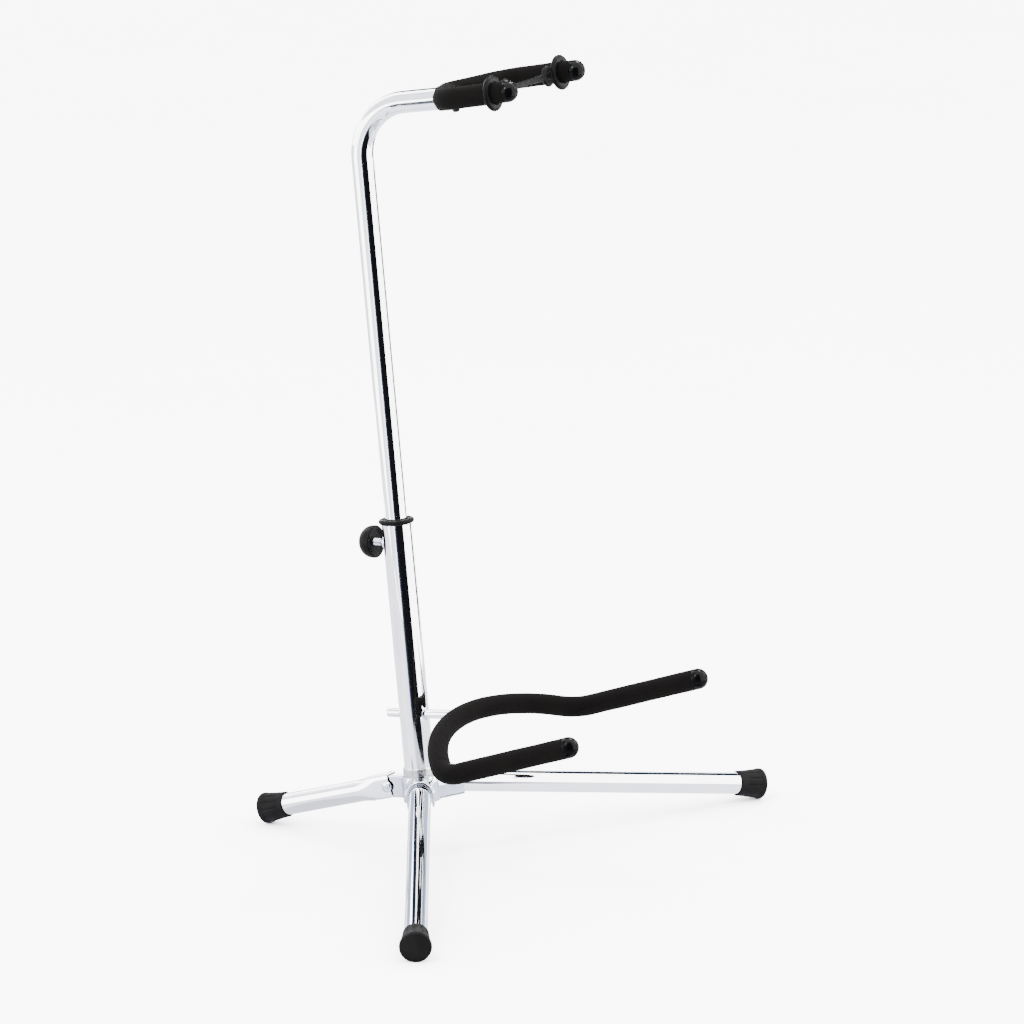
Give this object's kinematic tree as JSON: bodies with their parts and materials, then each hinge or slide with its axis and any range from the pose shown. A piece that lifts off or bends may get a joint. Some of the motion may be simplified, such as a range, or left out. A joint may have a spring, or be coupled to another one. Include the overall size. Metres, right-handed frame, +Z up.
{
  "type": "guitar stand",
  "caption": "Folding tripod guitar stand: telescoping chromed post on hinged legs, foam cradle on a swivel pin and a foam-covered neck yoke with a closing strap.",
  "frame": {"origin": "middle of the stand's footprint box, on the floor", "axes": "+Z up, -Y towards the front where the cradle and the neck yoke point, +X to the stand's right leg"},
  "size_m": [0.5934, 0.3834, 0.687],
  "materials": {
    "chrome_tube": "bright mirror chrome plate",
    "chrome_bracket": "bright chrome plate over pressed steel",
    "zinc_steel": "bright zinc plate",
    "ring_rubber": "matte moulded rubber",
    "nylon": "natural nylon",
    "black_plastic": "moulded, satin",
    "foot_rubber": "matte moulded rubber with a fine mould grain",
    "foam": "closed-cell foam, matte",
    "cap_vinyl": "soft dipped vinyl, glossy",
    "strap_rubber": "smooth rubber, semi-matte",
    "knob_plastic": "moulded plastic, satin gloss"
  },
  "bodies": {
    "base": {"post_tube": "chrome_tube", "hub_bracket": "chrome_bracket", "base_collar": "chrome_bracket", "rim_ring": "ring_rubber", "guide_bush": "nylon", "clamp_boss": "chrome_bracket", "post_plug": "black_plastic", "rivet_left": "zinc_steel", "rivet_right": "zinc_steel", "rivet_rear": "zinc_steel"},
    "left_leg": {"leg_left": "chrome_tube", "foot_left": "foot_rubber"},
    "right_leg": {"leg_right": "chrome_tube", "foot_right": "foot_rubber"},
    "rear_leg": {"leg_rear": "chrome_tube", "foot_rear": "foot_rubber"},
    "slider": {"slide_bush": "nylon"},
    "mast": {"mast_tube": "chrome_tube", "neck_yoke": "zinc_steel", "yoke_socket": "foam", "yoke_screw": "black_plastic", "yoke_foam": "foam", "yoke_tip_foam_left": "foam", "yoke_tip_foam_right": "foam", "yoke_cap_left": "cap_vinyl", "yoke_cap_right": "cap_vinyl"},
    "strap": {"neck_strap": "strap_rubber"},
    "clamp_tip": {"clamp_pad": "nylon"},
    "knob": {"clamp_screw": "zinc_steel", "clamp_knob": "knob_plastic"},
    "cradle": {"cradle_pin": "zinc_steel", "cradle_bow": "zinc_steel", "cradle_foam": "foam", "cradle_cap_left": "cap_vinyl", "cradle_cap_right": "cap_vinyl"}
  },
  "joints": [
    {"name": "left_leg_fold", "type": "hinge", "parent": "base", "child": "left_leg", "pos_m": [-0.02598, 0.01256, 0.05654], "axis": [0.5, -0.8614, 0.089], "range_deg": [0, 78]},
    {"name": "right_leg_fold", "type": "hinge", "parent": "base", "child": "right_leg", "pos_m": [0.02598, 0.01256, 0.05654], "axis": [0.5, 0.8614, -0.089], "range_deg": [0, 78]},
    {"name": "rear_leg_fold", "type": "hinge", "parent": "base", "child": "rear_leg", "pos_m": [0, 0.05732, 0.05192], "axis": [-1, 0, 0], "range_deg": [0, 78]},
    {"name": "mast_height", "type": "slide", "parent": "base", "child": "slider", "axis": [0, 0.1028, 0.9947], "range_m": [-0.04, 0.07]},
    {"name": "mast_swivel", "type": "hinge", "parent": "slider", "child": "mast", "pos_m": [0, 0.05112, 0.28378], "axis": [0, 0.1028, 0.9947], "continuous": true},
    {"name": "strap_off", "type": "slide", "parent": "mast", "child": "strap", "axis": [0.0521, -0.9799, 0.1924], "range_m": [0, 0.032]},
    {"name": "clamp_advance", "type": "slide", "parent": "base", "child": "clamp_tip", "axis": [0, 0.9947, -0.1028], "range_m": [0, 0.003]},
    {"name": "knob_turn", "type": "hinge", "parent": "clamp_tip", "child": "knob", "pos_m": [0, 0.07126, 0.26461], "axis": [0, 0.9947, -0.1028], "range_deg": [0, 1080]},
    {"name": "cradle_swivel", "type": "hinge", "parent": "base", "child": "cradle", "pos_m": [0, 0.03406, 0.11866], "axis": [0, -0.9947, 0.1028], "range_deg": [-90, 85]}
  ],
  "couplings": [
    {"joint": "knob_turn", "follows": "clamp_advance", "rad_per_m": 6283.2}
  ]
}
